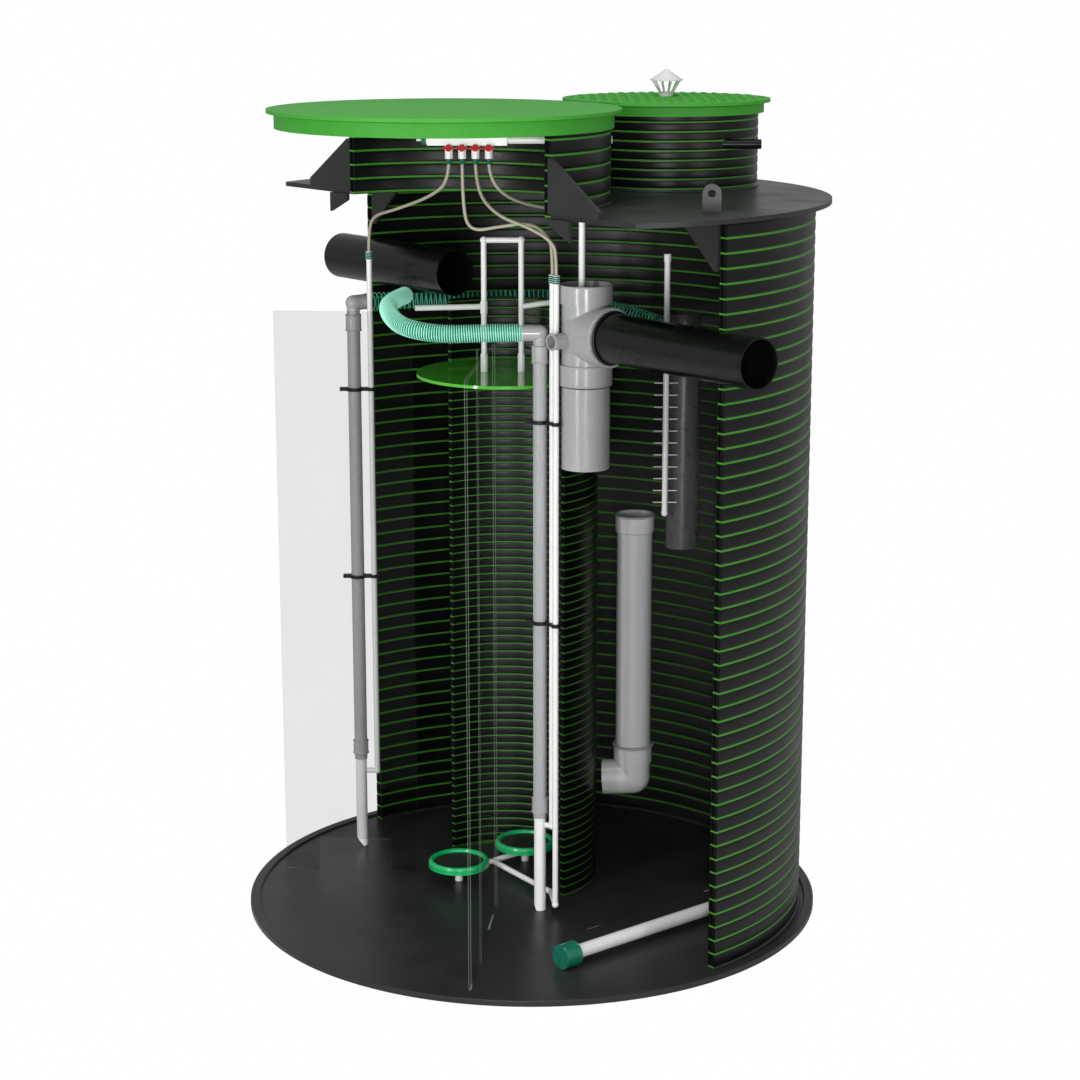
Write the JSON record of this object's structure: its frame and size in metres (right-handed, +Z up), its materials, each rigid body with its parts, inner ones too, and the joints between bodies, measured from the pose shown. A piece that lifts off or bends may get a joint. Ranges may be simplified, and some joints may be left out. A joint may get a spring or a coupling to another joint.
{
  "type": "packaged sewage treatment plant",
  "caption": "Cutaway upright tank of wound twin-wall pipe with two lidded risers, inlet, outlet, inner aeration chamber, air lifts, hoses and clear partitions.",
  "frame": {"origin": "centre of the round base disc on its underside", "axes": "+Z up, +X to the right and -Y towards the side where the tank is cut open"},
  "size_m": [1.96, 1.96, 2.816],
  "materials": {
    "black_pe": "spiral-wound polyethylene, satin black",
    "dark_sheet": "welded polyethylene sheet, satin",
    "green_lid": "coloured plastic, satin gloss",
    "green_cover": "coloured plastic sheet, glossy",
    "black_pipe": "extruded polyethylene, semi-gloss",
    "grey_pvc": "sewer-pipe grey plastic, satin",
    "white_pvc": "white pressure pipe, satin",
    "dark_grey_pvc": "dark grey pipe, satin",
    "red_knob": "red moulded plastic",
    "cream_hose": "flexible air hose",
    "mint_hose": "spiral-ribbed hose",
    "clear_sheet": "clear sheet",
    "emerald": "green moulded ring",
    "teal_cap": "dark green moulded cap",
    "black_clip": "moulded clip"
  },
  "bodies": {
    "plant": {"air_hose_1": "cream_hose", "air_hose_2": "cream_hose", "air_hose_3": "cream_hose", "air_hose_4": "cream_hose", "air_manifold": "white_pvc", "airlift_brackets": "black_clip", "airlift_feet": "white_pvc", "base_plate": "dark_sheet", "cable_duct": "black_pipe", "chamber_air_loop": "white_pvc", "chamber_cover": "green_cover", "chamber_wall_1": "black_pe", "chamber_wall_2": "black_pe", "cross_partition": "clear_sheet", "dark_drop_pipe": "dark_grey_pvc", "diffuser_air_line": "white_pvc", "diffusers": "emerald", "drop_pipe": "grey_pvc", "elbow_pipe": "grey_pvc", "floor_pipe": "grey_pvc", "floor_pipe_cap": "teal_cap", "front_partition": "clear_sheet", "gussets": "dark_sheet", "inlet_pipe": "black_pipe", "large_lid": "green_lid", "large_riser_wall_1": "black_pe", "large_riser_wall_2": "black_pe", "large_riser_wall_3": "black_pe", "left_air_line": "white_pvc", "left_airlift": "grey_pvc", "left_partition": "clear_sheet", "left_spiral_hose": "mint_hose", "lift_air_line": "white_pvc", "lifting_eyes": "dark_sheet", "mid_airlift": "grey_pvc", "mid_spiral_hose": "mint_hose", "outlet_pipe": "black_pipe", "outlet_tee": "grey_pvc", "right_partition": "clear_sheet", "rod_pipe": "white_pvc", "sample_pipe": "white_pvc", "small_lid": "green_lid", "small_riser_wall_1": "black_pe", "small_riser_wall_2": "black_pe", "small_riser_wall_3": "black_pe", "small_riser_wall_4": "black_pe", "tank_wall_1": "black_pe", "tank_wall_2": "black_pe", "tank_wall_3": "black_pe", "tank_wall_4": "black_pe", "tank_wall_5": "black_pe", "tank_wall_6": "black_pe", "top_plate": "dark_sheet", "vent_cap": "white_pvc"},
    "valve_knob_1": {"valve_knob_1": "red_knob"},
    "valve_knob_2": {"valve_knob_2": "red_knob"},
    "valve_knob_3": {"valve_knob_3": "red_knob"},
    "valve_knob_4": {"valve_knob_4": "red_knob"}
  },
  "joints": [
    {"name": "valve_1_turn", "type": "hinge", "parent": "plant", "child": "valve_knob_1", "pos_m": [-0.266, -0.13, 2.588], "axis": [0, -1, 0], "range_deg": [0, 90]},
    {"name": "valve_2_turn", "type": "hinge", "parent": "plant", "child": "valve_knob_2", "pos_m": [-0.223, -0.13, 2.588], "axis": [0, -1, 0], "range_deg": [0, 90]},
    {"name": "valve_3_turn", "type": "hinge", "parent": "plant", "child": "valve_knob_3", "pos_m": [-0.18, -0.13, 2.588], "axis": [0, -1, 0], "range_deg": [0, 90]},
    {"name": "valve_4_turn", "type": "hinge", "parent": "plant", "child": "valve_knob_4", "pos_m": [-0.137, -0.13, 2.588], "axis": [0, -1, 0], "range_deg": [0, 90]}
  ]
}
